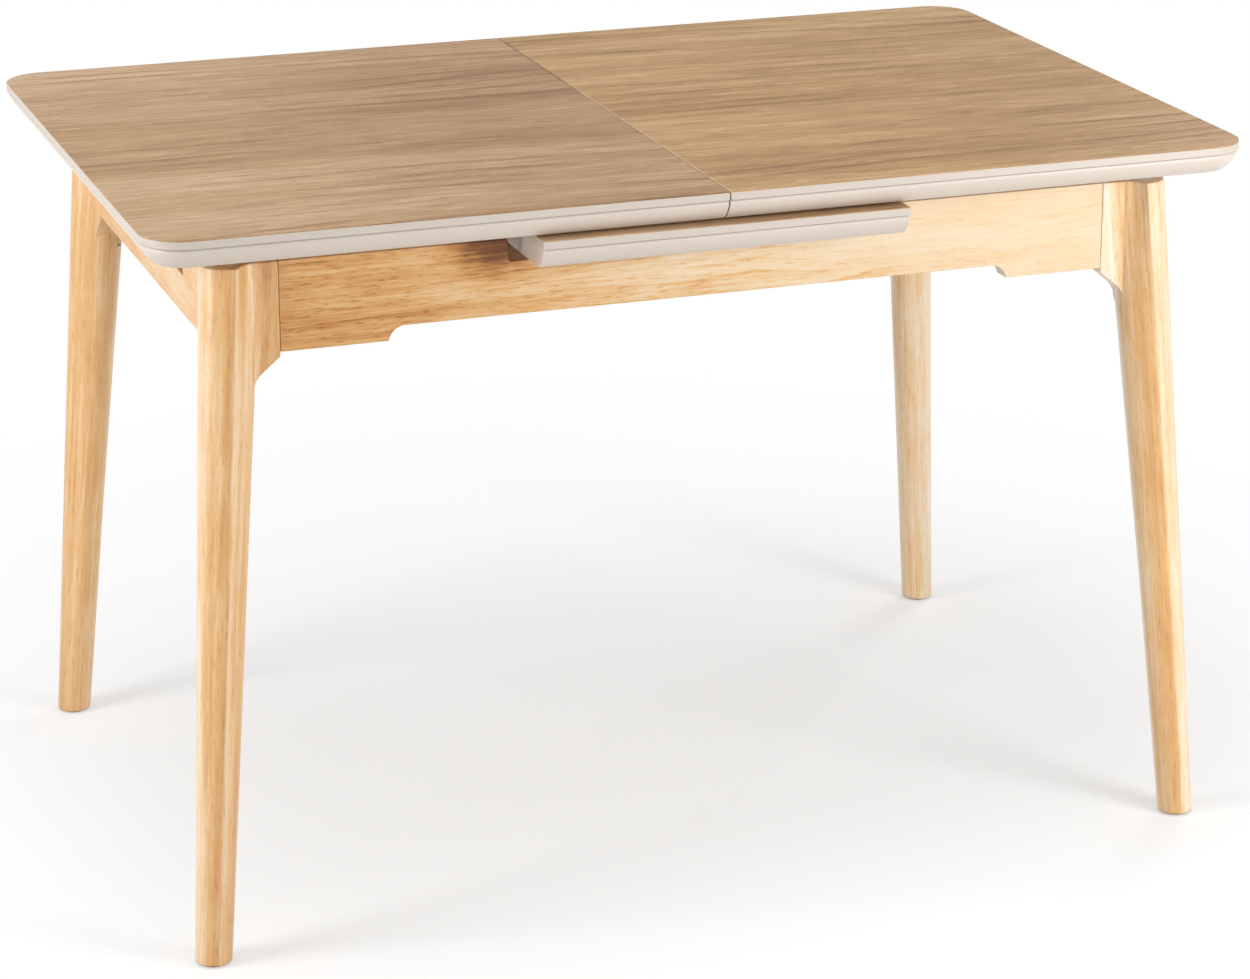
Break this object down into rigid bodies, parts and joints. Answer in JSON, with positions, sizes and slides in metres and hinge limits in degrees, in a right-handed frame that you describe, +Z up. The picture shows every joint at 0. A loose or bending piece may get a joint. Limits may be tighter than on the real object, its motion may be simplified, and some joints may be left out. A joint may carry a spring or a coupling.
{
  "type": "extending table",
  "caption": "Extending dining table: sliding half tops on a splayed-leg wooden frame, with a spare leaf stored crosswise under their joint.",
  "frame": {"origin": "on the floor under the middle of the closed table", "axes": "+X along the table to the right seen from the front, +Y from the front to the rear, +Z up"},
  "size_m": [1.15, 0.75, 0.745],
  "materials": {
    "oak_veneer": "matt greyed oak",
    "painted_board": "satin cream paint",
    "leg_wood": "satin honey lacquer",
    "apron_wood": "satin honey lacquer",
    "inner_wood": "bare beech",
    "dowel_wood": "bare beech",
    "steel": "zinc plated",
    "glide_plastic": "dark brown nylon",
    "button_plastic": "natural nylon"
  },
  "bodies": {
    "frame": {"leg_front_left": "leg_wood", "leg_front_right": "leg_wood", "leg_rear_left": "leg_wood", "leg_rear_right": "leg_wood", "apron_front": "apron_wood", "apron_rear": "apron_wood", "apron_left": "apron_wood", "apron_right": "apron_wood", "corner_block_front_left": "inner_wood", "corner_block_front_right": "inner_wood", "corner_block_rear_left": "inner_wood", "corner_block_rear_right": "inner_wood", "cross_rail_left": "inner_wood", "cross_rail_right": "inner_wood", "guide_rail_front": "inner_wood", "guide_rail_rear": "inner_wood", "glide_front_left": "glide_plastic", "glide_front_right": "glide_plastic", "glide_rear_left": "glide_plastic", "glide_rear_right": "glide_plastic", "leg_dowels": "dowel_wood", "cross_rail_dowels": "dowel_wood", "corner_block_screws": "steel", "hanger_bolts": "steel", "hanger_washers": "steel", "hanger_nuts": "steel", "guide_rail_screws": "steel", "leaf_rest_buttons": "button_plastic"},
    "left_top": {"runner_screws_left": "steel", "top_board_left": "painted_board", "top_veneer_left": "oak_veneer", "stop_blocks_left": "inner_wood", "runner_left_front": "inner_wood", "spacer_left_front": "inner_wood", "runner_left_rear": "inner_wood", "spacer_left_rear": "inner_wood"},
    "right_top": {"alignment_pins": "dowel_wood", "runner_screws_right": "steel", "top_board_right": "painted_board", "top_veneer_right": "oak_veneer", "stop_blocks_right": "inner_wood", "runner_right_front": "inner_wood", "spacer_right_front": "inner_wood", "runner_right_rear": "inner_wood", "spacer_right_rear": "inner_wood"},
    "leaf": {"leaf_pins": "dowel_wood", "leaf_board": "painted_board", "leaf_veneer": "oak_veneer"}
  },
  "joints": [
    {"name": "left_top_slide", "type": "slide", "parent": "frame", "child": "left_top", "axis": [-1, 0, 0], "range_m": [0, 0.2]},
    {"name": "right_top_slide", "type": "slide", "parent": "frame", "child": "right_top", "axis": [1, 0, 0], "range_m": [0, 0.2]},
    {"name": "leaf_draw", "type": "slide", "parent": "frame", "child": "leaf", "axis": [0, -1, 0], "range_m": [0, 0.69]}
  ]
}
